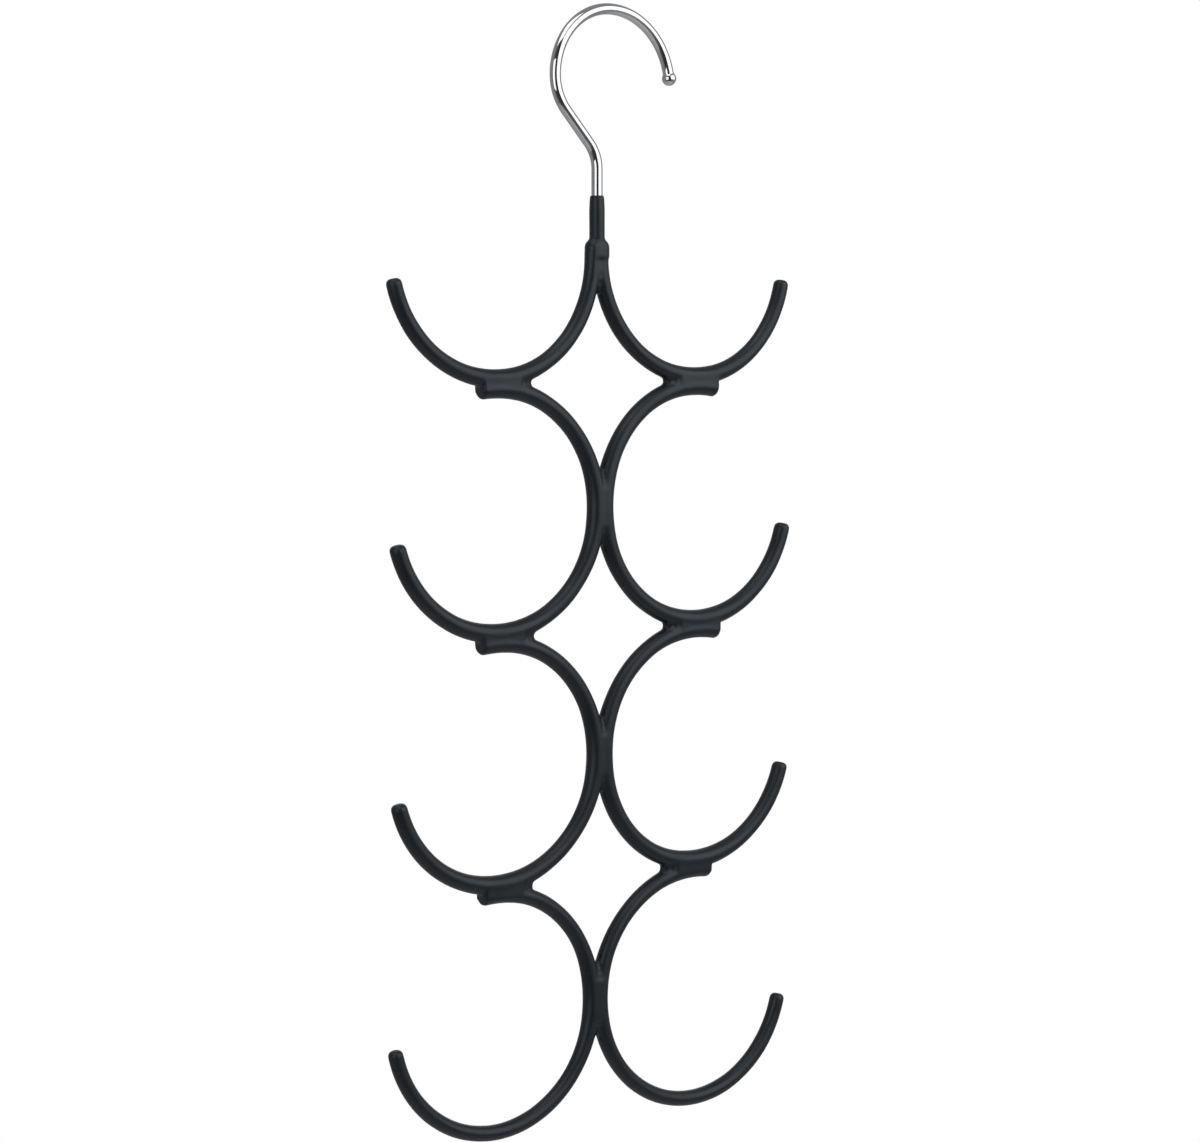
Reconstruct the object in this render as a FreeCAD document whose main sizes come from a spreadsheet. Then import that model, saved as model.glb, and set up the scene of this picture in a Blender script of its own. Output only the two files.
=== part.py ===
import FreeCAD, Part
import enum
import math
import os

import Sketcher

# Scarf hanger: a flat frame of welded wire loops under a plated hook, dipped in soft black plastic.
# Frame: origin on the inside of the hook's crown, where the hanger hangs; X across the loops,
# Z up, Y through the flat frame with the front at -Y.

# Driving dimensions, in millimetres and degrees

SIZES = {
    # plated hook, radii on its centre line
    "hook_wire_diameter": 4.0,
    "shank_length": 25.4,
    "bend_radius": 13.5,
    "slope_angle": 42.0,
    "slope_length": 14.8,
    "rise_radius": 17.8,
    "crown_radius": 23.6,
    "mouth_radius": 26.4,
    "mouth_angle": 82.0,
    "ball_diameter": 5.2,
    # frame wires, radius and angles on their centre lines
    "frame_wire_diameter": 3.2,
    "loop_radius": 42.0,
    "tip_angle": 165.0,
    "stub_angle": 98.0,
    "top_straight": 4.6,
    # welds
    "weld_gap": 0.2,
    "spot_weld_diameter": 2.6,
    "neck_weld_cover": 0.6,
    "neck_weld_rise": 0.6,
    "neck_weld_height": 5.0,
    "neck_weld_round": 0.8,
    # dip coat
    "coat_thickness": 1.2,
    "tip_round": 2.0,
    "stub_round": 1.2,
    "web_thickness": 5.2,
    "centre_web_radius": 1.4,
    "stub_web_radius": 1.6,
    "knuckle_cover": 0.8,
    "knuckle_round": 2.6,
    "sleeve_thickness": 0.55,
    "sleeve_height": 16.0,
    "sleeve_taper_length": 4.0,
    "rim_thickness": 0.3,
    "rim_round": 0.2,
    "cut_overrun": 1.0,
}
SIDES = {"left": -1, "right": 1}

X_AXIS = FreeCAD.Vector(1, 0, 0)
Y_AXIS = FreeCAD.Vector(0, 1, 0)
Z_AXIS = FreeCAD.Vector(0, 0, 1)
# how a piece that is drawn along Z, or on the left, is turned into place
AS_DRAWN = FreeCAD.Rotation()
ALONG_X = FreeCAD.Rotation(Z_AXIS, X_AXIS)
ALONG_Y = FreeCAD.Rotation(Z_AXIS, Y_AXIS)
AGAINST_X = FreeCAD.Rotation(Z_AXIS, -X_AXIS)
UPSIDE_DOWN = FreeCAD.Rotation(-X_AXIS, Y_AXIS, -Z_AXIS)
FACING = {"left": AS_DRAWN, "right": FreeCAD.Rotation(-X_AXIS, -Y_AXIS, Z_AXIS)}


class Row(enum.IntEnum):
    """Rows of the frame, counted from the top."""
    TOP = 1
    SECOND = 2
    THIRD = 3
    BOTTOM = 4


LOOP_ROWS = (Row.SECOND, Row.THIRD, Row.BOTTOM)


class At(enum.IntEnum):
    """Points of a sketch's lines and arcs."""
    START = 1
    END = 2
    CENTRE = 3


class Datum(enum.IntEnum):
    """What every sketch holds before anything is drawn: its level axis starts at its origin."""
    LEVEL_AXIS = -1


ORIGIN_POINT = (Datum.LEVEL_AXIS, At.START)

doc = FreeCAD.newDocument("scarf_hanger")
sheet = doc.addObject("Spreadsheet::Sheet", "sizes")
for line, (name, value) in enumerate(SIZES.items(), start=1):
    sheet.set(f"A{line}", name)
    sheet.set(f"B{line}", str(value))
    sheet.setAlias(f"B{line}", name)
doc.recompute()

# Formulas that several pieces share

WIRE_STEP = "(sizes.frame_wire_diameter + sizes.weld_gap)"
LOOP_OFFSET = f"(sizes.loop_radius + {WIRE_STEP} / 2)"
COAT_RADIUS = "(sizes.frame_wire_diameter / 2 + sizes.coat_thickness)"
LOOP_OUTSIDE = f"(sizes.loop_radius + {COAT_RADIUS})"
COVER_ANGLE = "(sizes.coat_thickness / sizes.loop_radius * 180 / pi)"
SLOPE_RUN = (
    "((sizes.bend_radius + sizes.rise_radius) * (1 - cos(sizes.slope_angle))"
    " + sizes.slope_length * sin(sizes.slope_angle))"
)
SLOPE_RISE = (
    "((sizes.bend_radius + sizes.rise_radius) * sin(sizes.slope_angle)"
    " + sizes.slope_length * cos(sizes.slope_angle))"
)
AXIS_X = f"({SLOPE_RUN} - sizes.crown_radius)"
SHANK_END_Z = f"(sizes.hook_wire_diameter / 2 - sizes.crown_radius - {SLOPE_RISE} - sizes.shank_length)"
TOP_ROW_Z = f"({SHANK_END_Z} - sizes.weld_gap - sizes.top_straight)"
NECK_WELD_Z = f"({SHANK_END_Z} + sizes.neck_weld_rise - sizes.neck_weld_height)"
NECK_WELD_RADIUS = "(sizes.frame_wire_diameter / 2 + sizes.neck_weld_cover)"


def column(side):
    """X of the loop centres on one side."""
    return f"({AXIS_X} + {SIDES[side]} * {LOOP_OFFSET})"


def level(row):
    """Z of the loop centres of a row."""
    return f"({TOP_ROW_Z} - {2 * (row - Row.TOP)} * {LOOP_OFFSET})"


def bind(item, links):
    """Ties an object's properties to formulas over the sheet."""
    for path, formula in links.items():
        item.setExpression(path, formula)


def place(item, x, z, turn=AS_DRAWN):
    """Turns a piece about its own origin and ties its place in the flat frame to formulas."""
    item.Placement = FreeCAD.Placement(FreeCAD.Vector(), turn)
    bind(item, {"Placement.Base.x": x, "Placement.Base.z": z})


# Sketches and features of one piece


def new_sketch(body, name, role):
    """A sketch on one of the piece's own origin planes."""
    plane = next(item for item in body.Origin.OriginFeatures if item.Role == role)
    sketch = body.newObject("Sketcher::SketchObject", name)
    sketch.AttachmentSupport = [(plane, "")]
    sketch.MapMode = "FlatFace"
    return sketch


def dimension(sketch, name, formula, *constraint):
    """A named driving constraint tied to a formula."""
    start_value = sketch.evalExpression(formula)
    index = sketch.addConstraint(Sketcher.Constraint(*constraint, float(start_value)))
    sketch.renameConstraint(index, name)
    sketch.setExpression(f"Constraints.{name}", formula)


def angle(sketch, name, formula, arc):
    """The sweep of an arc, tied to a formula in degrees."""
    start_value = math.radians(sketch.evalExpression(formula))
    index = sketch.addConstraint(Sketcher.Constraint("Angle", arc, start_value))
    sketch.renameConstraint(index, name)
    sketch.setExpression(f"Constraints.{name}", f"{formula} * 1 deg")


def round_edges(body, name, edges, radius):
    """A fillet on named edges of the piece as it stands."""
    base = body.Tip
    fillet = body.newObject("PartDesign::Fillet", name)
    fillet.Base = (base, edges)
    fillet.setExpression("Radius", radius)
    doc.recompute()


def arc_between(centre_x, centre_y, radius, start, end):
    """A counter-clockwise arc of a sketch, angles in radians."""
    circle = Part.Circle(FreeCAD.Vector(centre_x, centre_y, 0), Z_AXIS, radius)
    return Part.ArcOfCircle(circle, start, end)


def segment(start, end):
    """A straight line of a sketch."""
    return Part.LineSegment(FreeCAD.Vector(*start, 0), FreeCAD.Vector(*end, 0))


# Frame wires and the coat on them


def loop_profile(body, radius):
    """The round section of a loop's wire, at the loop's innermost point."""
    sketch = new_sketch(body, f"{body.Name}_section", "XY_Plane")
    centre = FreeCAD.Vector(sheet.loop_radius, 0, 0)
    sketch.addGeometry(Part.Circle(centre, Z_AXIS, sketch.evalExpression(radius)))
    sketch.addConstraint(Sketcher.Constraint("PointOnObject", 0, At.CENTRE, Datum.LEVEL_AXIS))
    dimension(sketch, "section_radius", radius, "Radius", 0)
    dimension(sketch, "loop_reach", "sizes.loop_radius", "DistanceX", *ORIGIN_POINT, 0, At.CENTRE)
    return sketch


def loop_arc(name, side, row, radius, tip_angle, stub_angle):
    """A round bar bent to a loop: down and out to the tip, up and over to the stub."""
    body = doc.addObject("PartDesign::Body", name)
    sketch = loop_profile(body, radius)
    bend = body.newObject("PartDesign::Revolution", f"{name}_bend")
    bend.Profile = sketch
    bend.ReferenceAxis = (sketch, ["V_Axis"])
    bend.Type = "TwoAngles"
    bind(bend, {"Angle": tip_angle, "Angle2": stub_angle})
    place(body, column(side), level(row), FACING[side])
    doc.recompute()
    return body


def top_arc(name, side, radius, tip_angle, straight):
    """A round bar bent to the first cup, with its inner end carried straight up."""
    body = doc.addObject("PartDesign::Body", name)
    sketch = loop_profile(body, radius)
    bend = body.newObject("PartDesign::Revolution", f"{name}_bend")
    bend.Profile = sketch
    bend.ReferenceAxis = (sketch, ["V_Axis"])
    bend.setExpression("Angle", tip_angle)
    end = body.newObject("PartDesign::Pad", f"{name}_end")
    end.Profile = loop_profile(body, radius)
    end.setExpression("Length", straight)
    place(body, column(side), level(Row.TOP), FACING[side])
    doc.recompute()
    return body


def end_edge(body, choose):
    """Name of the round edge at one free end: the tip is furthest out, the stub furthest in."""
    ends = [(edge.CenterOfMass.x, number) for number, edge in enumerate(body.Tip.Shape.Edges, start=1)
            if edge.isClosed() and edge.CenterOfMass.x < 0]
    return f"Edge{choose(ends)[1]}"


wires = {}
coat_pieces = []
for side in SIDES:
    wires[side, Row.TOP] = top_arc(
        f"top_wire_{side}", side, "sizes.frame_wire_diameter / 2", "sizes.tip_angle", "sizes.top_straight"
    )
    top_coat = top_arc(
        f"top_coat_{side}", side, COAT_RADIUS, f"sizes.tip_angle + {COVER_ANGLE}", "sizes.top_straight / 2"
    )
    round_edges(top_coat, f"top_coat_{side}_tip", [end_edge(top_coat, min)], "sizes.tip_round")
    coat_pieces.append(top_coat)
    for row in LOOP_ROWS:
        wires[side, row] = loop_arc(
            f"loop_wire_{side}_{row}", side, row, "sizes.frame_wire_diameter / 2",
            "sizes.tip_angle", "sizes.stub_angle",
        )
        loop_coat = loop_arc(
            f"loop_coat_{side}_{row}", side, row, COAT_RADIUS,
            f"sizes.tip_angle + {COVER_ANGLE}", f"sizes.stub_angle + {COVER_ANGLE}",
        )
        round_edges(loop_coat, f"loop_coat_{side}_{row}_tip", [end_edge(loop_coat, min)], "sizes.tip_round")
        round_edges(loop_coat, f"loop_coat_{side}_{row}_stub", [end_edge(loop_coat, max)], "sizes.stub_round")
        coat_pieces.append(loop_coat)


# Plated hook: shank, bend, slope, rise, crown and mouth in one bent wire, with a ball on its end

HOOK_ROUTE = (
    # run or bend, the size that sets it, and its turn to the left in degrees
    ("shank", "sizes.shank_length", None),
    ("bend", "sizes.bend_radius", "sizes.slope_angle"),
    ("slope", "sizes.slope_length", None),
    ("rise", "sizes.rise_radius", "-sizes.slope_angle"),
    ("crown", "sizes.crown_radius", "-90"),
    ("mouth", "sizes.mouth_radius", "-sizes.mouth_angle"),
)


def draw_route(sketch, pieces):
    """Straight runs and tangent bends, one after the other, from the origin upwards."""
    point = FreeCAD.Vector()
    heading = math.pi / 2
    for index, (name, size, turn) in enumerate(pieces):
        length = sketch.evalExpression(size)
        ahead = FreeCAD.Vector(math.cos(heading), math.sin(heading), 0)
        first, last = At.START, At.END
        if turn is None:
            end = point + ahead * length
            sketch.addGeometry(Part.LineSegment(point, end))
            dimension(sketch, f"{name}_length", size, "Distance", index)
        else:
            sweep = math.radians(sketch.evalExpression(turn))
            inwards = FreeCAD.Vector(-ahead.y, ahead.x, 0) * math.copysign(length, sweep)
            centre = point + inwards
            bearing = math.atan2(-inwards.y, -inwards.x)
            end = centre + FreeCAD.Vector(math.cos(bearing + sweep), math.sin(bearing + sweep), 0) * length
            if sweep < 0:
                first, last = At.END, At.START
            limits = sorted((bearing, bearing + sweep))
            sketch.addGeometry(arc_between(centre.x, centre.y, length, *limits))
            dimension(sketch, f"{name}_radius", size, "Radius", index)
            angle(sketch, f"{name}_turn", f"abs({turn})", index)
            heading += sweep
        if index == 0:
            sketch.addConstraint(Sketcher.Constraint("Coincident", index, first, *ORIGIN_POINT))
            sketch.addConstraint(Sketcher.Constraint("Vertical", index))
        else:
            sketch.addConstraint(Sketcher.Constraint("Tangent", index - 1, joint, index, first))
        joint = last
        point = end


hook = doc.addObject("PartDesign::Body", "hook_wire")
route = new_sketch(hook, "hook_route", "XZ_Plane")
draw_route(route, HOOK_ROUTE)
hook_section = new_sketch(hook, "hook_section", "XY_Plane")
hook_section.addGeometry(Part.Circle(FreeCAD.Vector(), Z_AXIS, sheet.hook_wire_diameter / 2))
hook_section.addConstraint(Sketcher.Constraint("Coincident", 0, At.CENTRE, *ORIGIN_POINT))
dimension(hook_section, "wire_diameter", "sizes.hook_wire_diameter", "Diameter", 0)
doc.recompute()

bent_wire = hook.newObject("PartDesign::AdditivePipe", "hook_bent_wire")
bent_wire.Profile = hook_section
bent_wire.Spine = (route, [f"Edge{number}" for number in range(1, len(route.Shape.Edges) + 1)])
doc.recompute()
ball = hook.newObject("PartDesign::AdditiveSphere", "hook_ball")
ball.AttachmentSupport = [(route, f"Vertex{len(route.Shape.Vertexes)}")]
ball.MapMode = "Translate"
ball.setExpression("Radius", "sizes.ball_diameter / 2")
place(hook, AXIS_X, SHANK_END_Z)
doc.recompute()


# Welds


def cut(name, base, *tools):
    """A piece with other pieces' solids taken out of it, one after the other."""
    for count, tool in enumerate(tools, start=1):
        result = doc.addObject("Part::Cut", name if count == len(tools) else f"{name}_cut_{count}")
        result.Base = base
        result.Tool = tool
        base = result
    return result


def spot_weld(name, first_wire, second_wire, x, z, turn=AS_DRAWN):
    """A round nugget between two wires, from the axis of one to the axis of the other, less the wires."""
    blank = doc.addObject("Part::Cylinder", f"{name}_blank")
    bind(blank, {"Radius": "sizes.spot_weld_diameter / 2", "Height": WIRE_STEP})
    place(blank, x, z, turn)
    weld_blanks.append(blank)
    return cut(name, blank, first_wire, second_wire)


def capsule(name, radius, height, top_round):
    """A block with a stadium section that wraps the two straight wire ends, rounded on top."""
    body = doc.addObject("PartDesign::Body", name)
    sketch = new_sketch(body, f"{name}_section", "XY_Plane")
    half = sketch.evalExpression(WIRE_STEP) / 2
    reach = sketch.evalExpression(radius)
    sketch.addGeometry(arc_between(half, 0, reach, -math.pi / 2, math.pi / 2))
    sketch.addGeometry(segment((half, reach), (-half, reach)))
    sketch.addGeometry(arc_between(-half, 0, reach, math.pi / 2, 3 * math.pi / 2))
    sketch.addGeometry(segment((-half, -reach), (half, -reach)))
    for constraint in (
        ("Tangent", 0, At.END, 1, At.START),
        ("Tangent", 1, At.END, 2, At.START),
        ("Tangent", 2, At.END, 3, At.START),
        ("Tangent", 3, At.END, 0, At.START),
        ("PointOnObject", 0, At.CENTRE, Datum.LEVEL_AXIS),
        ("Symmetric", 0, At.CENTRE, 2, At.CENTRE, *ORIGIN_POINT),
    ):
        sketch.addConstraint(Sketcher.Constraint(*constraint))
    dimension(sketch, "end_radius", radius, "Radius", 0)
    dimension(sketch, "centre_step", WIRE_STEP, "DistanceX", 2, At.CENTRE, 0, At.CENTRE)
    block = body.newObject("PartDesign::Pad", f"{name}_block")
    block.Profile = sketch
    block.setExpression("Length", height)
    doc.recompute()
    middle = body.evalExpression(height) / 2
    rim = [f"Edge{number}" for number, edge in enumerate(block.Shape.Edges, start=1)
           if edge.BoundBox.ZMin > middle]
    round_edges(body, f"{name}_top_round", rim, top_round)
    return body


weld_blanks = []
nodes = [hook] + list(wires.values())
for row in LOOP_ROWS:
    nodes.append(spot_weld(
        f"centre_weld_{row}", wires["left", row], wires["right", row],
        f"{AXIS_X} - {WIRE_STEP} / 2", level(row), ALONG_X,
    ))
    for side in SIDES:
        nodes.append(spot_weld(
            f"stub_weld_{side}_{row}", wires[side, row - 1], wires[side, row],
            column(side), f"{level(row)} + {LOOP_OFFSET} - {WIRE_STEP} / 2",
        ))
neck_blank = capsule("neck_weld_blank", NECK_WELD_RADIUS, "sizes.neck_weld_height", "sizes.neck_weld_round")
place(neck_blank, AXIS_X, NECK_WELD_Z)
weld_blanks.append(neck_blank)
nodes.append(cut("neck_weld", neck_blank, wires["left", Row.TOP], wires["right", Row.TOP], hook))


# Dip coat: tubes on the wires, webs where wires run together, the lump on the neck and the sleeve


def web(name, round_radius, x, z, flat_end=None, turn=AS_DRAWN):
    """A web between two loops that touch: an hourglass plate that ends in round crotches."""
    reach = f"({LOOP_OUTSIDE} + {round_radius})"
    crotch_centre = f"sqrt({reach} ^ 2 - {LOOP_OFFSET} ^ 2)"
    crotch_end = f"({crotch_centre} * {LOOP_OUTSIDE} / {reach})"
    low_end = flat_end or crotch_end
    plate = doc.addObject("Part::Box", f"{name}_plate")
    bind(plate, {
        "Length": LOOP_OFFSET,
        "Width": "sizes.web_thickness",
        "Height": f"{low_end} + {crotch_end}",
        "Placement.Base.x": f"-{LOOP_OFFSET} / 2",
        "Placement.Base.y": "-sizes.web_thickness / 2",
        "Placement.Base.z": f"-{low_end}",
    })
    rounds = [("sizes.loop_radius", f"{sign} * {LOOP_OFFSET}", "0") for sign in (-1, 1)]
    rounds.append((round_radius, "0", crotch_centre))
    if flat_end is None:
        rounds.append((round_radius, "0", f"-{crotch_centre}"))
    cutters = []
    for count, (radius, across, along) in enumerate(rounds, start=1):
        cutter = doc.addObject("Part::Cylinder", f"{name}_cutter_{count}")
        bind(cutter, {"Radius": radius, "Height": "sizes.web_thickness + 2 * sizes.cut_overrun"})
        place(cutter, across, along, ALONG_Y)
        cutter.setExpression("Placement.Base.y", "-sizes.web_thickness / 2 - sizes.cut_overrun")
        cutters.append(cutter)
    shape = cut(name, plate, *cutters)
    place(shape, x, z, turn)
    coat_pieces.append(shape)


web("top_web", "sizes.centre_web_radius", AXIS_X, level(Row.TOP), "sizes.top_straight / 2", UPSIDE_DOWN)
for row in LOOP_ROWS:
    web(f"centre_web_{row}", "sizes.centre_web_radius", AXIS_X, level(row))
    for side, inwards in (("left", ALONG_X), ("right", AGAINST_X)):
        web(
            f"stub_web_{side}_{row}", "sizes.stub_web_radius", column(side), f"{level(row)} + {LOOP_OFFSET}",
            "(-sizes.loop_radius * cos(sizes.stub_angle))", inwards,
        )

knuckle = capsule(
    "knuckle", f"{NECK_WELD_RADIUS} + sizes.knuckle_cover",
    "sizes.neck_weld_height + 2 * sizes.knuckle_cover", "sizes.knuckle_round",
)
place(knuckle, AXIS_X, f"{NECK_WELD_Z} - sizes.knuckle_cover")
coat_pieces.append(knuckle)

sleeve = doc.addObject("PartDesign::Body", "sleeve")
sleeve_profile = new_sketch(sleeve, "sleeve_profile", "XZ_Plane")
sleeve_radius = "sizes.hook_wire_diameter / 2 + sizes.sleeve_thickness"
rim_radius = "sizes.hook_wire_diameter / 2 + sizes.rim_thickness"
wide = sleeve.evalExpression(sleeve_radius)
narrow = sleeve.evalExpression(rim_radius)
taper_start = sheet.sleeve_height - sheet.sleeve_taper_length
corners = [(0, 0), (wide, 0), (wide, taper_start), (narrow, sheet.sleeve_height), (0, sheet.sleeve_height)]
for index, corner in enumerate(corners):
    sleeve_profile.addGeometry(segment(corner, corners[(index + 1) % len(corners)]))
for index in range(len(corners)):
    following = (index + 1) % len(corners)
    sleeve_profile.addConstraint(Sketcher.Constraint("Coincident", index, At.END, following, At.START))
BASE, WALL, TAPER, RIM, AXIS = range(len(corners))
for constraint in (
    ("Coincident", BASE, At.START, *ORIGIN_POINT),
    ("Horizontal", BASE),
    ("Vertical", WALL),
    ("Horizontal", RIM),
    ("Vertical", AXIS),
):
    sleeve_profile.addConstraint(Sketcher.Constraint(*constraint))
dimension(sleeve_profile, "wall_radius", sleeve_radius, "Distance", BASE)
dimension(sleeve_profile, "rim_radius", rim_radius, "Distance", RIM)
dimension(sleeve_profile, "full_height", "sizes.sleeve_height", "Distance", AXIS)
taper_ends = (TAPER, At.START, TAPER, At.END)
dimension(sleeve_profile, "taper_height", "sizes.sleeve_taper_length", "DistanceY", *taper_ends)
sleeve_turn = sleeve.newObject("PartDesign::Revolution", "sleeve_turn")
sleeve_turn.Profile = sleeve_profile
sleeve_turn.ReferenceAxis = (sleeve_profile, ["V_Axis"])
doc.recompute()
heights = [(edge.CenterOfMass.z, number) for number, edge in enumerate(sleeve_turn.Shape.Edges, start=1)
           if edge.isClosed()]
round_edges(sleeve, "sleeve_rim_round", [f"Edge{max(heights)[1]}"], "sizes.rim_round")
place(sleeve, AXIS_X, SHANK_END_Z)
coat_pieces.append(sleeve)

coat_outside = doc.addObject("Part::MultiFuse", "coat_outside")
coat_outside.Shapes = coat_pieces
steel_inside = doc.addObject("Part::MultiFuse", "steel_inside")
steel_inside.Shapes = [hook] + list(wires.values()) + weld_blanks
nodes.append(cut("dip_coating", coat_outside, steel_inside))
doc.recompute()

# Every object is sound before anything is written

for item in doc.Objects:
    if {"Invalid", "Error"} & set(item.State):
        raise RuntimeError(f"{item.Label}: {item.State}")
for node in nodes:
    if node.Shape.isNull() or not node.Shape.isValid() or len(node.Shape.Solids) != 1:
        raise RuntimeError(f"{node.Label}: not one sound solid")

os.makedirs("parts", exist_ok=True)
for node in nodes:
    node.Shape.exportStep(f"parts/{node.Label}.step")
    box = node.Shape.BoundBox
    print(f"{node.Label}: {node.Shape.Volume:.1f} mm3, z {box.ZMin:.2f} to {box.ZMax:.2f}")
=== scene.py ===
# %% [markdown]
# # A scarf hanger: welded wire, dipped in soft plastic, under a plated hook
#
# The real hanger is bent and welded from steel wire, then dipped once in liquid PVC, which sets to a
# black rubbery skin. Only the hook stays bare and bright. The CAD frame already holds every wire and
# weld at its real size, so this lesson dresses it: it measures the frame, models the skin and the hook
# as fine meshes, gives every surface its finish, and sets up a small studio for the picture.

# %% Load the frame
import math

import bmesh
import bpy
from mathutils import Matrix, Vector, noise


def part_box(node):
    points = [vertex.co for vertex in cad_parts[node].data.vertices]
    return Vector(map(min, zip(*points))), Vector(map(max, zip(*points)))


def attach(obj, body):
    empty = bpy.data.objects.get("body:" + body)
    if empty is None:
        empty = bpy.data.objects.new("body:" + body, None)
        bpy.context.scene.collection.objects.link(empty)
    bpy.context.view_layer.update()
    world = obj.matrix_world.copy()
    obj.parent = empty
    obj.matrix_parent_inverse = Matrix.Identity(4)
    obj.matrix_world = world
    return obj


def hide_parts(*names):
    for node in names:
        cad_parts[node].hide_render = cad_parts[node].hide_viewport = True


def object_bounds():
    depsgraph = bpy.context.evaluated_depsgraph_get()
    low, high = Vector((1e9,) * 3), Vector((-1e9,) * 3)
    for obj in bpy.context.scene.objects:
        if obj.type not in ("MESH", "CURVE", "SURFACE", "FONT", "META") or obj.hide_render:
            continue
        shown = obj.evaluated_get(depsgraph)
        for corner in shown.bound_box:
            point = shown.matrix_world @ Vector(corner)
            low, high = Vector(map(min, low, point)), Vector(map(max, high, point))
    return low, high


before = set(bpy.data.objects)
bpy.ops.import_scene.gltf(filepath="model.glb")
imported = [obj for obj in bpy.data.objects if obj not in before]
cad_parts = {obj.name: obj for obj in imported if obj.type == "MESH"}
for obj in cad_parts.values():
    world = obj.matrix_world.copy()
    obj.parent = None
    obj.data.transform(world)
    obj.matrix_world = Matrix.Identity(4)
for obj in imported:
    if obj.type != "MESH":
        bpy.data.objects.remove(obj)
CAD_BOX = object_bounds()
MM = 0.001
cad_size = [round(side / MM, 1) for side in CAD_BOX[1] - CAD_BOX[0]]
print("CAD nodes:", len(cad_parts), "CAD box in mm:", cad_size)

# %% [markdown]
# ## Measure the loops
#
# A skin has to sit on the wires, so its sizes are read from them rather than typed again. A loop's wire
# passes the top and the bottom of its circle, which makes its box as tall as the circle, and its inner
# side is the box's side nearest to the middle. That gives the radius, the columns and the rows.

# %% Measure the loops
ROWS = (1, 2, 3, 4)
SIDES = {"left": -1, "right": 1}
loop_low, loop_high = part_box("loop_wire_left_2")
WIRE_RADIUS = (loop_high.y - loop_low.y) / 2
LOOP_RADIUS = (loop_high.z - loop_low.z) / 2 - WIRE_RADIUS
AXIS_X = (loop_high.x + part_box("loop_wire_right_2")[0].x) / 2
LOOP_OFFSET = AXIS_X - loop_high.x + WIRE_RADIUS + LOOP_RADIUS
SECOND_ROW_Z = (loop_low.z + loop_high.z) / 2
ROW_Z = {row: SECOND_ROW_Z - (row - 2) * 2 * LOOP_OFFSET for row in ROWS}
SHANK_END_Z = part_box("hook_wire")[0].z


def loop_centre(side, row):
    """The centre of one loop."""
    return Vector((AXIS_X + SIDES[side] * LOOP_OFFSET, 0, ROW_Z[row]))


print("loop radius", round(LOOP_RADIUS / MM, 2), "mm, column to axis", round(LOOP_OFFSET / MM, 2), "mm")

# %% [markdown]
# ## Tools for bent round bar
#
# Wire is bent from straight runs and round bends, and a modeller can follow the same steps: draw one
# ring of edges, draw it out along each run, and spin it round each bend. Blender could also sweep a
# curve, but the spin gives each bend its exact centre, and a ring can change its size on the way, which
# a dip coat needs.

# %% Tools for bent round bar
UP = Vector((0, 0, 1))
THROUGH = Vector((0, 1, 0))


def parts(geometry, kind):
    """The parts of one kind, such as BMVert, in an operator's result."""
    return [part for part in geometry if isinstance(part, kind)]


def ring(bm, centre, across, radius, sides):
    """A closed ring of edges round a point, square to a direction."""
    turn = across.to_track_quat("Z", "Y").to_matrix().to_4x4()
    place = Matrix.Translation(centre) @ turn
    verts = bmesh.ops.create_circle(bm, radius=radius, segments=sides, matrix=place)["verts"]
    return verts, list({edge for vert in verts for edge in vert.link_edges})


def run(bm, bar, way):
    """Draws the ring at the end of a bar straight out, and returns the new end."""
    made = bmesh.ops.extrude_edge_only(bm, edges=bar[1])["geom"]
    verts = parts(made, bmesh.types.BMVert)
    bmesh.ops.translate(bm, verts=verts, vec=way)
    ends = set(verts)
    return verts, [edge for edge in parts(made, bmesh.types.BMEdge) if ends.issuperset(edge.verts)]


def bend(bm, bar, centre, angle, steps):
    """Spins the ring at the end of a bar round a centre, to the left. Returns the new end."""
    made = bmesh.ops.spin(
        bm, geom=bar[0] + bar[1], cent=centre, axis=-THROUGH, dvec=Vector(), angle=angle, steps=steps,
        use_merge=False, use_duplicate=False,
    )["geom_last"]
    return parts(made, bmesh.types.BMVert), parts(made, bmesh.types.BMEdge)


def resize(bm, bar, factor):
    """Scales the ring at the end of a bar about its own centre."""
    centre = sum((vert.co for vert in bar[0]), Vector()) / len(bar[0])
    bmesh.ops.scale(bm, vec=Vector((factor,) * 3), space=Matrix.Translation(-centre), verts=bar[0])


def round_off(bm, edges, rounding, segments):
    """Bevels edges to a round."""
    bmesh.ops.bevel(
        bm, geom=edges, offset=rounding, offset_type="OFFSET", segments=segments, profile=0.5,
        affect="EDGES", material=-1,
    )


def cap(bm, bar, rounding, segments):
    """Closes the end of a bar with a flat face and rounds its edge."""
    bmesh.ops.edgeloop_fill(bm, edges=bar[1])
    round_off(bm, bar[1], rounding, segments)


# %% [markdown]
# ## Tools for materials
#
# Every finish below is a small network of nodes. One function adds a node: a value given for an input
# is set there, and an output given for an input is linked. Colours are written as sRGB hex, as a
# paint chart or a picture editor shows them, and turned to the linear values that Blender shades with.

# %% Tools for materials


def linear(hex_colour):
    """sRGB hex to linear red, green, blue and a full alpha."""
    channels = [int(hex_colour[place:place + 2], 16) / 255 for place in (1, 3, 5)]
    return [c / 12.92 if c <= 0.04045 else ((c + 0.055) / 1.055) ** 2.4 for c in channels] + [1.0]


def add(tree, kind, inputs=(), **settings):
    """Adds a node with its settings, and sets or links its inputs."""
    node = tree.nodes.new(kind)
    for name, value in settings.items():
        setattr(node, name, value)
    for name, value in dict(inputs).items():
        if isinstance(value, bpy.types.NodeSocket):
            tree.links.new(value, node.inputs[name])
        else:
            node.inputs[name].default_value = value
    return node


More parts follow.
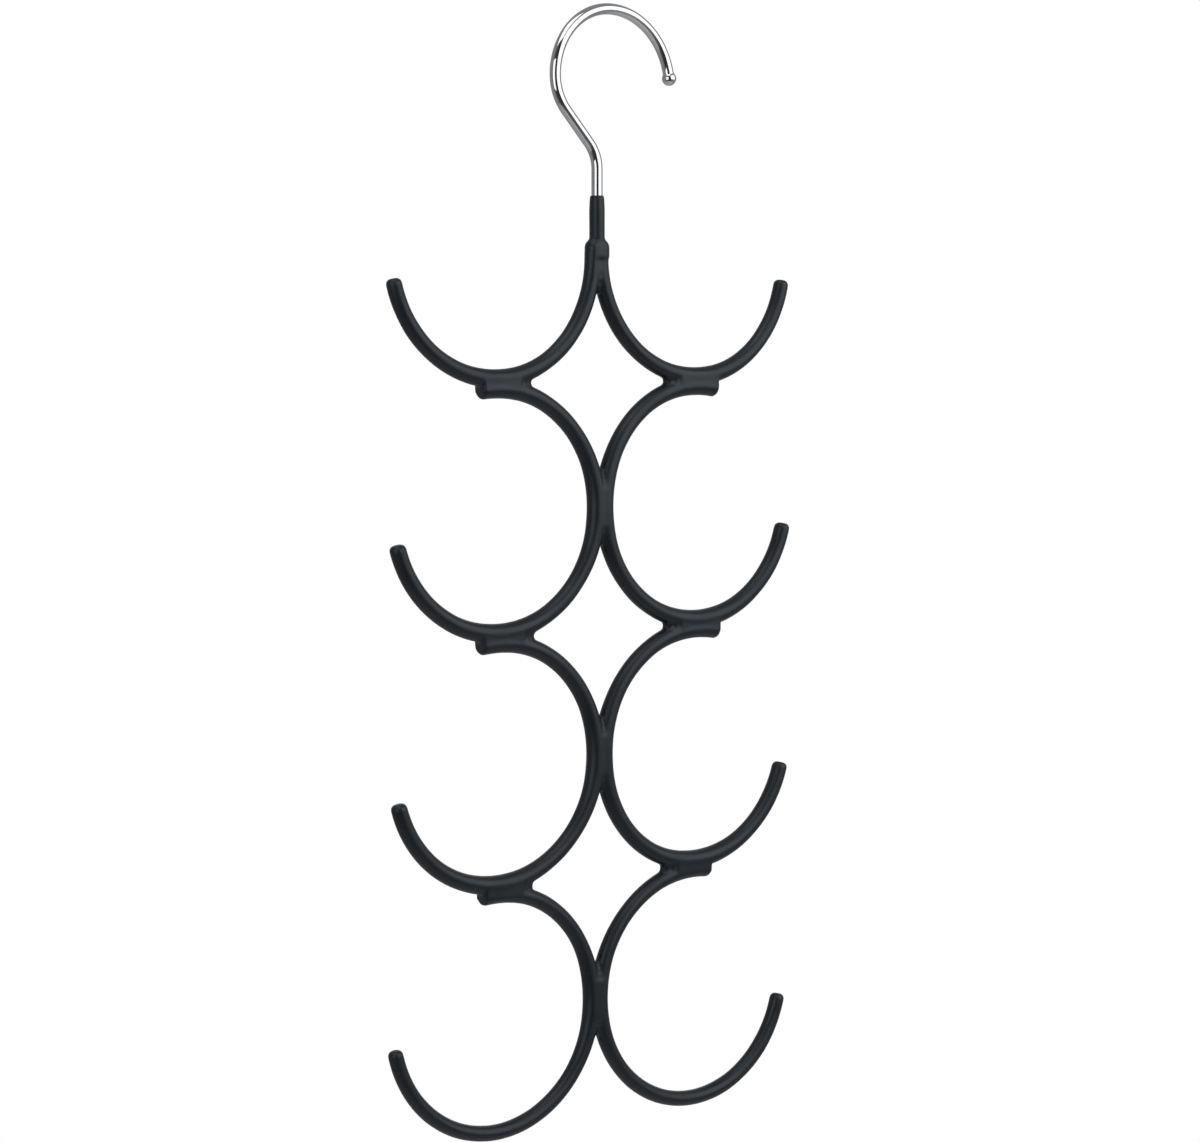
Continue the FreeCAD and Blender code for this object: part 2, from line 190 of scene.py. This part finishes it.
def new_material(name):
    """An empty material, its node tree and its Object coordinates in metres."""
    material = bpy.data.materials.new(name)
    material.use_nodes = True
    material.node_tree.nodes.clear()
    coordinates = add(material.node_tree, "ShaderNodeTexCoord").outputs["Object"]
    return material, material.node_tree, coordinates


def per_mm(size):
    """The scale of a pattern whose features measure this many millimetres."""
    return 1 / (size * MM)


# %% [markdown]
# ## Black dipped PVC
#
# Plastisol is liquid PVC. It flows over the warm wire and sets with a satin skin: black with a cold
# tint, smooth, but never quite even. The eye reads that from soft highlights that widen and narrow,
# so most of the work is in the roughness and in two bumps: a slow one where the dip ran, and the fine
# peel of the set surface. The refractive index was matched to the gloss in the photograph.

# %% Black dipped PVC


def dipped_pvc():
    """Satin black plastisol: flowed, set, and slightly uneven."""
    material, tree, place = new_material("black_dipped_pvc")
    flow = add(tree, "ShaderNodeTexNoise", {"Vector": place, "Scale": per_mm(14), "Detail": 3.0})
    peel = add(tree, "ShaderNodeTexNoise", {"Vector": place, "Scale": per_mm(0.9), "Detail": 2.0})
    tint = add(tree, "ShaderNodeMix", {
        "Factor": flow.outputs["Fac"], "A": linear("#101316"), "B": linear("#15191c"),
    }, data_type="RGBA")
    satin = add(tree, "ShaderNodeMapRange", {
        "Value": flow.outputs["Fac"], "From Min": 0.3, "From Max": 0.7, "To Min": 0.36, "To Max": 0.46,
    })
    run_bump = add(tree, "ShaderNodeBump", {
        "Height": flow.outputs["Fac"], "Strength": 0.35, "Distance": 0.4 * MM,
    })
    peel_bump = add(tree, "ShaderNodeBump", {
        "Height": peel.outputs["Fac"], "Strength": 0.25, "Distance": 0.03 * MM,
        "Normal": run_bump.outputs["Normal"],
    })
    shader = add(tree, "ShaderNodeBsdfPrincipled", {
        "Base Color": tint.outputs["Result"], "Roughness": satin.outputs["Result"], "IOR": 1.46,
        "Specular Tint": linear("#dfe8f2"), "Normal": peel_bump.outputs["Normal"],
    })
    add(tree, "ShaderNodeOutputMaterial", {"Surface": shader.outputs["BSDF"]})
    return material


PVC = dipped_pvc()
print("made", PVC.name)

# %% [markdown]
# ## Bright chrome plate
#
# The hook is polished steel wire with nickel and chrome on it. Chrome has almost no colour of its own:
# what shows is the studio, in stripes along the wire. A trace of roughness and the faint waviness that
# drawing and bending leave keep the stripes from looking ruled.

# %% Bright chrome plate


def chrome_plate():
    """Polished, plated wire with faint waviness and thin haze."""
    material, tree, place = new_material("bright_chrome_plate")
    wave = add(tree, "ShaderNodeTexNoise", {"Vector": place, "Scale": per_mm(6), "Detail": 1.0})
    haze = add(tree, "ShaderNodeTexNoise", {"Vector": place, "Scale": per_mm(1.5), "Detail": 4.0})
    gloss = add(tree, "ShaderNodeMapRange", {
        "Value": haze.outputs["Fac"], "From Min": 0.35, "From Max": 0.7, "To Min": 0.05, "To Max": 0.11,
    })
    waviness = add(tree, "ShaderNodeBump", {
        "Height": wave.outputs["Fac"], "Strength": 0.08, "Distance": 0.2 * MM,
    })
    shader = add(tree, "ShaderNodeBsdfPrincipled", {
        "Base Color": linear("#c4c5c7"), "Metallic": 1.0, "Roughness": gloss.outputs["Result"],
        "Normal": waviness.outputs["Normal"],
    })
    add(tree, "ShaderNodeOutputMaterial", {"Surface": shader.outputs["BSDF"]})
    return material


CHROME = chrome_plate()
print("made", CHROME.name)

# %% [markdown]
# ## Bare steel under the coat
#
# The frame wires and their welds never see daylight, but they are part of the hanger, so they get
# their own finishes: grey drawn wire with a fine grain, and welds that heat has stained straw and blue.

# %% Bare steel under the coat


def steel(name, dull, bright, grain_mm, rough):
    """Uncoated mild steel: two tones in a grain of a given size, with that grain in the relief."""
    material, tree, place = new_material(name)
    grain = add(tree, "ShaderNodeTexNoise", {"Vector": place, "Scale": per_mm(grain_mm), "Detail": 5.0})
    tone = add(tree, "ShaderNodeMix", {
        "Factor": grain.outputs["Fac"], "A": linear(dull), "B": linear(bright),
    }, data_type="RGBA")
    relief = add(tree, "ShaderNodeBump", {
        "Height": grain.outputs["Fac"], "Strength": 0.2, "Distance": 0.05 * MM,
    })
    shader = add(tree, "ShaderNodeBsdfPrincipled", {
        "Base Color": tone.outputs["Result"], "Metallic": 1.0, "Roughness": rough,
        "Normal": relief.outputs["Normal"],
    })
    add(tree, "ShaderNodeOutputMaterial", {"Surface": shader.outputs["BSDF"]})
    return material


DRAWN_STEEL = steel("drawn_mild_steel", dull="#85837f", bright="#b4b2ad", grain_mm=0.8, rough=0.4)
WELD_STEEL = steel("heat_stained_weld", dull="#6b6257", bright="#8d8fa0", grain_mm=0.5, rough=0.5)
for name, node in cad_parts.items():
    node.data.materials.clear()
    node.data.materials.append(WELD_STEEL if "weld" in name else DRAWN_STEEL)
print("made", DRAWN_STEEL.name, "and", WELD_STEEL.name, "for", len(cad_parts), "nodes")

# %% [markdown]
# ## A finished piece
#
# A new piece is a mesh in the frame's own place, so its object stays at the origin. It rides on the
# hanger's one body, takes its material, and stands for the CAD node that it replaces, which is hidden.

# %% A finished piece


def finished(name, mesh, material, node):
    """Links a mesh as a smooth piece of the hanger that stands for one CAD node."""
    mesh.name = name
    mesh.shade_smooth()
    mesh.materials.clear()
    mesh.materials.append(material)
    piece = bpy.data.objects.new(name, mesh)
    bpy.context.scene.collection.objects.link(piece)
    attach(piece, "root")
    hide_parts(node)
    mesh.calc_loop_triangles()
    print(name, "has", len(mesh.loop_triangles), "triangles")
    return piece


# %% [markdown]
# ## The hook
#
# One piece of 4 mm wire: a straight shank out of the coat, a bend and a slope that bring it to the
# side, then a rise, a crown and an open mouth that together make the bow, and a small ball so that
# the end can't scratch. The route is the CAD's own, as runs and bends from the shank's lower end.
# Chrome shows every facet, so the rings are close together.

# %% The hook
HOOK_WIRE_RADIUS = 2.0 * MM
BALL_RADIUS = 2.6 * MM
HOOK_SIDES = 48
BEND_STEP = 0.8 * MM
BALL_STEPS = 20
SHARP_ANGLE = math.radians(35)
MOUTH_RADIUS = 26.4 * MM
MOUTH_TURN = -82
# the wire meets the ball's surface a little before the ball's centre
BALL_NECK = math.sqrt(BALL_RADIUS ** 2 - HOOK_WIRE_RADIUS ** 2)
# a run has its length, a bend its centre-line radius and its turn to the left in degrees
HOOK_ROUTE = (
    (25.4 * MM, None),
    (13.5 * MM, 42),
    (14.8 * MM, None),
    (17.8 * MM, -42),
    (23.6 * MM, -90),
    (MOUTH_RADIUS, MOUTH_TURN + math.degrees(BALL_NECK / MOUTH_RADIUS)),
)

hook_bm = bmesh.new()
point = Vector((AXIS_X, 0, SHANK_END_Z))
heading = UP.copy()
bar = ring(hook_bm, point, heading, HOOK_WIRE_RADIUS, HOOK_SIDES)
bmesh.ops.edgeloop_fill(hook_bm, edges=bar[1])
for size, turn in HOOK_ROUTE:
    if turn is None:
        bar = run(hook_bm, bar, heading * size)
        point = point + heading * size
        continue
    angle = math.radians(turn)
    left = Vector((-heading.z, 0, heading.x))
    centre = point + left * math.copysign(size, angle)
    bar = bend(hook_bm, bar, centre, angle, round(abs(angle) * size / BEND_STEP))
    turned = Matrix.Rotation(angle, 3, -THROUGH)
    point = centre + turned @ (point - centre)
    heading = turned @ heading

# the ball: the last ring swells to the ball's radius and closes again
neck = math.asin(HOOK_WIRE_RADIUS / BALL_RADIUS)
ball_radius = HOOK_WIRE_RADIUS
ball_reach = -BALL_NECK
for step in range(1, BALL_STEPS):
    polar = neck + (math.pi - neck) * step / BALL_STEPS
    bar = run(hook_bm, bar, heading * (-BALL_RADIUS * math.cos(polar) - ball_reach))
    resize(hook_bm, bar, BALL_RADIUS * math.sin(polar) / ball_radius)
    ball_radius = BALL_RADIUS * math.sin(polar)
    ball_reach = -BALL_RADIUS * math.cos(polar)
bmesh.ops.edgeloop_fill(hook_bm, edges=bar[1])
bmesh.ops.recalc_face_normals(hook_bm, faces=hook_bm.faces)
hook_mesh = bpy.data.meshes.new("plated_hook")
hook_bm.to_mesh(hook_mesh)
hook_bm.free()
hook = finished("plated_hook", hook_mesh, CHROME, "hook_wire")
hook.data.set_sharp_from_angle(angle=SHARP_ANGLE)
print("hook ends at", [round(value / MM, 2) for value in point], "mm")

# %% [markdown]
# ## The coat on one wire
#
# The dip leaves a tube round each wire. It is not the same all along: the liquid gathers where wires
# meet, and drains off the free arms, so the skin is thick at the welds and thin towards the tips. Each
# tube is spun a few degrees at a time, and each new ring is given its own thickness. The arms and stubs
# were cut and bent by hand, so each ends at its own angle.

# %% The coat on one wire
QUARTER_TURN = math.pi / 2
COAT_RADIUS = 2.9 * MM
WELD_SWELL = 0.4 * MM
SWELL_LENGTH = 15 * MM
TIP_THINNING = 0.15 * MM
THIN_FROM = math.radians(110)
# the top and bottom rows drained for longer than the middle ones
ROW_GAIN = {1: 0.0, 2: 0.12 * MM, 3: 0.1 * MM, 4: -0.1 * MM}
# degrees from a loop's inner side, down and out to the tip, or up and over to the stub
TIP_END = {
    "left": {1: 168.6, 2: 166.4, 3: 166.2, 4: 169.5},
    "right": {1: 170.0, 2: 167.8, 3: 166.2, 4: 168.5},
}
STUB_END = {
    "left": {2: 99.3, 3: 100.6, 4: 98.6},
    "right": {2: 102.1, 3: 102.8, 4: 99.0},
}
TIP_ROUND = 1.7 * MM
STUB_ROUND = 0.7 * MM
ROUND_SEGMENTS = 5
TUBE_SIDES = 28
TUBE_STEP = math.radians(3)
# the top tubes end inside the lump of the neck
TOP_RUN = 1.2 * MM


def coat_radius(row, angle):
    """Coat radius at an angle of a loop, from 0 at its inner side, down and out to the tip."""
    welds = []
    if row > 1:
        welds += [0.0, -QUARTER_TURN]
    if row < len(ROWS):
        welds.append(QUARTER_TURN)
    swell = sum(math.exp(-((angle - weld) * LOOP_RADIUS / SWELL_LENGTH) ** 2) for weld in welds)
    thin = max(0.0, (angle - THIN_FROM) / (math.pi - THIN_FROM))
    return COAT_RADIUS + ROW_GAIN[row] + WELD_SWELL * swell - TIP_THINNING * thin


def coat_tube(bm, side, row, end):
    """The coat of one loop, from its tip to an angle at or past its inner side. Returns its open end."""
    tip = math.radians(TIP_END[side][row])
    steps = round((tip - end) / TUBE_STEP)
    turn = (end - tip) / steps
    out = Vector((-SIDES[side] * math.cos(tip), 0, -math.sin(tip)))
    along = Vector((SIDES[side] * math.sin(tip), 0, -math.cos(tip)))
    radius = coat_radius(row, tip)
    first = bar = ring(bm, loop_centre(side, row) + out * LOOP_RADIUS, along, radius, TUBE_SIDES)
    for step in range(1, steps + 1):
        bar = bend(bm, bar, loop_centre(side, row), SIDES[side] * turn, 1)
        next_radius = coat_radius(row, tip + turn * step)
        resize(bm, bar, next_radius / radius)
        radius = next_radius
    cap(bm, first, TIP_ROUND, ROUND_SEGMENTS)
    return bar


skin_bm = bmesh.new()
for side in SIDES:
    for row in ROWS[1:]:
        stub = coat_tube(skin_bm, side, row, -math.radians(STUB_END[side][row]))
        cap(skin_bm, stub, STUB_ROUND, ROUND_SEGMENTS)
    top_end = run(skin_bm, coat_tube(skin_bm, side, 1, 0.0), UP * TOP_RUN)
    bmesh.ops.edgeloop_fill(skin_bm, edges=top_end[1])
print("eight tubes:", len(skin_bm.faces), "faces")

# %% [markdown]
# ## Webs at the welds
#
# Between two wires that touch, the liquid stays and sets as a web. It is flush with the tubes close to
# the weld and thins towards the crotch where the wires part, as a drop does that clings between them.
# A few plates make each web, each longer and thinner than the one before. They can be plain blocks,
# because the tubes hide their sides.

# %% Webs at the welds
WEB_WIDTH = 6.4 * MM
# reach from the weld to the crotch and thickness
CENTRE_WEBS = ((7.0 * MM, 6.4 * MM), (9.0 * MM, 5.4 * MM), (11.0 * MM, 4.2 * MM), (13.0 * MM, 2.8 * MM))
NECK_WEBS = ((5.5 * MM, 5.4 * MM), (8.0 * MM, 5.0 * MM), (10.5 * MM, 4.0 * MM), (12.6 * MM, 2.8 * MM))
STUB_WEBS = ((8.5 * MM, 6.4 * MM), (10.5 * MM, 5.4 * MM), (12.5 * MM, 4.2 * MM), (14.2 * MM, 2.8 * MM))
# the lower crotches hold more of the liquid
STUB_WEB_GAIN = {2: 0.0, 3: 0.5 * MM, 4: 0.6 * MM}


def block(bm, low, high):
    """A box between two corners."""
    place = Matrix.Translation((low + high) / 2) @ Matrix.Diagonal((*(high - low), 1))
    bmesh.ops.create_cube(bm, size=1, matrix=place)


for row in ROWS[1:]:
    for reach, thickness in CENTRE_WEBS:
        half = Vector((WEB_WIDTH / 2, thickness / 2, reach))
        middle = Vector((AXIS_X, 0, ROW_Z[row]))
        block(skin_bm, middle - half, middle + half)
    for side in SIDES:
        weld = loop_centre(side, row) + UP * LOOP_OFFSET
        stub_reach = LOOP_RADIUS * math.sin(math.radians(STUB_END[side][row]) - QUARTER_TURN)
        for reach, thickness in STUB_WEBS:
            ends = sorted((SIDES[side] * stub_reach, -SIDES[side] * (reach + STUB_WEB_GAIN[row])))
            low = weld + Vector((ends[0], -thickness / 2, -WEB_WIDTH / 2))
            block(skin_bm, low, weld + Vector((ends[1], thickness / 2, WEB_WIDTH / 2)))
for reach, thickness in NECK_WEBS:
    low = Vector((AXIS_X - WEB_WIDTH / 2, -thickness / 2, ROW_Z[1] - reach))
    block(skin_bm, low, Vector((AXIS_X + WEB_WIDTH / 2, thickness / 2, SHANK_END_Z)))
print("with webs:", len(skin_bm.faces), "faces")

# %% [markdown]
# ## Neck and sleeve
#
# The weld that ties the hook to the two top wires is a lump, and the coat follows it: round shoulders
# above, and a crease below where the lump ends. Above it the coat climbs the shank as a thin sleeve and
# ends in a round rim. The lump is a block with rounded edges, and the sleeve is one more round bar.

# %% Neck and sleeve
# the first row is moved this far to the left in a later step, and the neck has to stay on the shank
TOP_ROW_SHIFT = 0.25 * MM
NECK_X = AXIS_X + TOP_ROW_SHIFT
NECK_DROP = 5.3 * MM
NECK_LOW_Z = SHANK_END_Z - NECK_DROP
NECK_HEIGHT = 6.8 * MM
NECK_HALF_WIDTH = 4.6 * MM
NECK_HALF_DEPTH = 3.2 * MM
NECK_SIDE_ROUND = 0.95 * NECK_HALF_DEPTH
SHOULDER_ROUND = 3.0 * MM
CREASE_ROUND = 0.4 * MM
SLEEVE_HEIGHT = 16.5 * MM
SLEEVE_TAPER = 5.0 * MM
SLEEVE_RADIUS = 2.78 * MM
RIM_RADIUS = 2.5 * MM
RIM_ROUND = 0.3 * MM
LEVEL = 0.01 * MM


def level_edges(bm, height):
    """The edges that lie at a height."""
    return [edge for edge in bm.edges if all(abs(vert.co.z - height) < LEVEL for vert in edge.verts)]


neck_low = Vector((NECK_X - NECK_HALF_WIDTH, -NECK_HALF_DEPTH, NECK_LOW_Z))
neck_high = Vector((NECK_X + NECK_HALF_WIDTH, NECK_HALF_DEPTH, NECK_LOW_Z + NECK_HEIGHT))
neck_bm = bmesh.new()
block(neck_bm, neck_low, neck_high)
level = level_edges(neck_bm, neck_low.z) + level_edges(neck_bm, neck_high.z)
uprights = [edge for edge in neck_bm.edges if edge not in level]
round_off(neck_bm, uprights, NECK_SIDE_ROUND, 2 * ROUND_SEGMENTS)
round_off(neck_bm, level_edges(neck_bm, neck_high.z), SHOULDER_ROUND, 2 * ROUND_SEGMENTS)
round_off(neck_bm, level_edges(neck_bm, neck_low.z), CREASE_ROUND, ROUND_SEGMENTS)
neck_mesh = bpy.data.meshes.new("neck_lump")
neck_bm.to_mesh(neck_mesh)
neck_bm.free()
skin_bm.from_mesh(neck_mesh)
bpy.data.meshes.remove(neck_mesh)

sleeve = ring(skin_bm, Vector((NECK_X, 0, SHANK_END_Z)), UP, SLEEVE_RADIUS, TUBE_SIDES)
bmesh.ops.edgeloop_fill(skin_bm, edges=sleeve[1])
sleeve = run(skin_bm, sleeve, UP * (SLEEVE_HEIGHT - SLEEVE_TAPER))
sleeve = run(skin_bm, sleeve, UP * SLEEVE_TAPER)
resize(skin_bm, sleeve, RIM_RADIUS / SLEEVE_RADIUS)
cap(skin_bm, sleeve, RIM_ROUND, ROUND_SEGMENTS)
bmesh.ops.recalc_face_normals(skin_bm, faces=skin_bm.faces)
print("with neck and sleeve:", len(skin_bm.faces), "faces")

# %% [markdown]
# ## One skin
#
# The tubes, webs, neck and sleeve overlap as separate shells. A boolean would leave hard lines between
# them. A voxel remesh instead takes the outside of them all as one closed skin, as the dip did, and a
# little smoothing lets the corners flow together.

# %% One skin
VOXEL = 0.55 * MM
SMOOTH_PASSES = 6
SMOOTH_FACTOR = 0.5

shells = bpy.data.meshes.new("coat_shells")
skin_bm.to_mesh(shells)
skin_bm.free()
shell_object = bpy.data.objects.new("coat_shells", shells)
bpy.context.scene.collection.objects.link(shell_object)
remesh = shell_object.modifiers.new("one_skin", "REMESH")
remesh.mode = "VOXEL"
remesh.voxel_size = VOXEL
smooth = shell_object.modifiers.new("set_skin", "SMOOTH")
smooth.factor = SMOOTH_FACTOR
smooth.iterations = SMOOTH_PASSES
evaluated = shell_object.evaluated_get(bpy.context.evaluated_depsgraph_get())
skin = bpy.data.meshes.new_from_object(evaluated)
bpy.data.objects.remove(shell_object)
bpy.data.meshes.remove(shells)
print("one skin:", len(skin.polygons), "faces")

# %% [markdown]
# ## Unevenness of a dip
#
# No dipped skin is quite even. A slow noise moves each point of the mesh a few hundredths of a
# millimetre in or out along its normal, so that edges and highlights waver as they do on the real one.
# And no welded frame is quite straight: the middle rows sit a little to the right, and the bottom row a
# little to the left and askew, by less than the coat is thick.

# %% Unevenness of a dip
RUN_DEPTH = 0.07 * MM
RUN_LENGTH = 11 * MM
# sideways at the middle of a row and at its tips
MIDDLE_BOW = {1: -TOP_ROW_SHIFT, 2: 1.35 * MM, 3: 1.1 * MM, 4: -0.8 * MM}
TIP_BOW = {
    "left": {1: 0.0, 2: 0.5 * MM, 3: 0.5 * MM, 4: -0.8 * MM},
    "right": {1: -0.8 * MM, 2: 0.6 * MM, 3: 0.4 * MM, 4: -0.8 * MM},
}
BOTTOM_TILT = math.radians(0.65)


def along_rows(values, row_place):
    """A value between two rows, by a smooth step from one to the other."""
    above = min(math.floor(row_place), ROWS[-2])
    share = (1 - math.cos(math.pi * (row_place - above))) / 2
    return values[above] + (values[above + 1] - values[above]) * share


def bow(point):
    """How far a point of the skin lies from its true place."""
    row_place = min(max(1 + (ROW_Z[1] - point.z) / (2 * LOOP_OFFSET), ROWS[0]), ROWS[-1])
    spread = ((point.x - AXIS_X) / (2 * LOOP_OFFSET)) ** 2
    middle = along_rows(MIDDLE_BOW, row_place)
    side = "left" if point.x < AXIS_X else "right"
    sideways = middle + (along_rows(TIP_BOW[side], row_place) - middle) * spread
    tilt = BOTTOM_TILT * max(0.0, row_place - ROWS[-2]) ** 2
    return Vector((sideways, 0, -tilt * (point.x - AXIS_X)))


moves = [vert.normal * (RUN_DEPTH * noise.noise(vert.co / RUN_LENGTH)) for vert in skin.vertices]
for vert, move in zip(skin.vertices, moves):
    vert.co += move + bow(vert.co)
finished("dipped_coat", skin, PVC, "dip_coating")

# %% [markdown]
# ## Camera
#
# The photograph was taken from the left of the hanger's face and from above its middle. The position,
# the turn, the dip and the lens below come from a fit to the eight equal loops.

# %% Camera
IMAGE_WIDTH = 1200
FOCAL_PIXELS = 3062
SENSOR_WIDTH = 36
CAMERA_PLACE = Vector((-651.0, -857.2, -107.9)) * MM
CAMERA_TURN = math.radians(37.03)
CAMERA_DIP = math.radians(4.57)

camera_data = bpy.data.cameras.new("camera")
camera_data.sensor_width = SENSOR_WIDTH
camera_data.lens = FOCAL_PIXELS / IMAGE_WIDTH * SENSOR_WIDTH
camera = bpy.data.objects.new("camera", camera_data)
camera.location = CAMERA_PLACE
camera.rotation_euler = (QUARTER_TURN - CAMERA_DIP, 0, -CAMERA_TURN)
bpy.context.scene.collection.objects.link(camera)
bpy.context.scene.camera = camera
print("lens", round(camera_data.lens, 1), "mm")

# %% [markdown]
# ## Soft boxes
#
# Bright wire and black plastic show what stands round them more than the light that falls on them. The
# stripes on the hook say where the lamps stood: a broad soft box on the right, a low one close to the
# camera's left, and one overhead. A lamp's power is worked out here from how bright it should look in a
# mirror.

# %% Soft boxes
HANGER_CENTRE = (CAD_BOX[0] + CAD_BOX[1]) / 2
BOX_RADIANCE = 1.75
BOX_DISTANCE = 1.3


def soft_box(name, right, up, width, height):
    """A lamp seen from the hook at angles right of the camera and up, so many degrees wide and high."""
    turn = CAMERA_TURN + math.pi - math.radians(right)
    rise = math.radians(up)
    flat = Vector((math.sin(turn), math.cos(turn), 0))
    lamp = bpy.data.lights.new(name, "AREA")
    lamp.shape = "RECTANGLE"
    lamp.size = 2 * BOX_DISTANCE * math.tan(math.radians(width) / 2)
    lamp.size_y = 2 * BOX_DISTANCE * math.tan(math.radians(height) / 2)
    lamp.energy = BOX_RADIANCE * math.pi * lamp.size * lamp.size_y
    holder = bpy.data.objects.new(name, lamp)
    holder.location = (flat * math.cos(rise) + UP * math.sin(rise)) * BOX_DISTANCE
    holder.rotation_euler = (HANGER_CENTRE - holder.location).to_track_quat("-Z", "Y").to_euler()
    holder.visible_camera = False
    bpy.context.scene.collection.objects.link(holder)
    print(name, "draws", round(lamp.energy, 1), "W")


soft_box("right_soft_box", right=65, up=14, width=70, height=55)
soft_box("left_soft_box", right=-28, up=-1, width=38, height=42)
soft_box("top_soft_box", right=-20, up=62, width=50, height=40)

# %% [markdown]
# ## Floor, grey cloth with painted glow, and white paper
#
# The hanger hangs high over a pale floor. Behind it is plain white. Against white, the edges of bright
# wire would vanish, so grey cloth hangs all round, out of the picture, for the metal and the gloss to
# mirror. The cloth here is a large ball that the camera looks through. Its grey is its own colour, but
# most of its light is painted: a glow written into its material rather than lamp light given back, a
# painted reflection that is little on the camera's side, where the room is dark, more at the sides, and
# full white behind the hanger, so that the metal mirrors the same paper as the camera sees.

# %% Floor, grey cloth with painted glow, and white paper
FLOOR_DROP = 0.9
FLOOR_RADIUS = 1.3
FLOOR_SIDES = 96
CLOTH_RADIUS = 4.0
CLOTH_SUBDIVISIONS = 4
# painted light of its own, a painted reflection for the metal and the gloss: a little everywhere, and
# rises between two distances away from the camera, counted from the hook, first to the grey at the
# sides and then to the white paper behind
CLOTH_PAINTED_GLOW = 0.03
CLOTH_PAINTED_GLOW_RISES = ((-3.4, -1.2, 0.30), (3.2, 3.7, 0.67))
AWAY = Vector((math.sin(CAMERA_TURN), math.cos(CAMERA_TURN), 0))


def matt(name, colour, glow=0.0, rises=()):
    """A matt surface, with painted light of its own: a glow that rises from near places to far ones."""
    material, tree, place = new_material(name)
    for near, far, rise in rises:
        distance = add(tree, "ShaderNodeVectorMath", {0: place, 1: AWAY}, operation="DOT_PRODUCT")
        part = add(tree, "ShaderNodeMapRange", {
            "Value": distance.outputs["Value"], "From Min": near, "From Max": far, "To Max": rise,
        })
        glow = add(tree, "ShaderNodeMath", {0: glow, 1: part.outputs["Result"]}).outputs["Value"]
    surface = add(tree, "ShaderNodeBsdfPrincipled", {
        "Base Color": linear(colour), "Roughness": 1.0, "Specular IOR Level": 0.0,
        "Emission Color": linear("#ffffff"), "Emission Strength": glow,
    })
    add(tree, "ShaderNodeOutputMaterial", {"Surface": surface.outputs["BSDF"]})
    return material


def staged(name, bm, material):
    """Links a mesh as part of the studio, not of the hanger."""
    mesh = bpy.data.meshes.new(name)
    bm.to_mesh(mesh)
    bm.free()
    mesh.materials.append(material)
    thing = bpy.data.objects.new(name, mesh)
    bpy.context.scene.collection.objects.link(thing)
    return thing


floor_bm = bmesh.new()
floor_place = Matrix.Translation((HANGER_CENTRE.x, HANGER_CENTRE.y, CAD_BOX[0].z - FLOOR_DROP))
bmesh.ops.create_circle(
    floor_bm, cap_ends=True, segments=FLOOR_SIDES, radius=FLOOR_RADIUS, matrix=floor_place,
)
staged("floor", floor_bm, matt("pale_floor", "#ececec"))

cloth_bm = bmesh.new()
bmesh.ops.create_icosphere(cloth_bm, subdivisions=CLOTH_SUBDIVISIONS, radius=CLOTH_RADIUS)
# the cloth's glow is painted light, a painted reflection for the hook and the coat to mirror
cloth = staged("grey_cloth_painted_reflection", cloth_bm, matt("grey_cloth_painted_reflection", "#3a3a3a", CLOTH_PAINTED_GLOW, CLOTH_PAINTED_GLOW_RISES))
cloth.visible_camera = False

world = bpy.data.worlds.new("white_paper")
world.use_nodes = True
world.node_tree.nodes.clear()
white = add(world.node_tree, "ShaderNodeBackground", {"Color": linear("#ffffff"), "Strength": 1.0})
add(world.node_tree, "ShaderNodeOutputWorld", {"Surface": white.outputs["Background"]})
bpy.context.scene.world = world
bpy.context.scene.view_settings.view_transform = "Standard"
print("floor", FLOOR_DROP, "m under the hanger, cloth", CLOTH_RADIUS, "m round it")
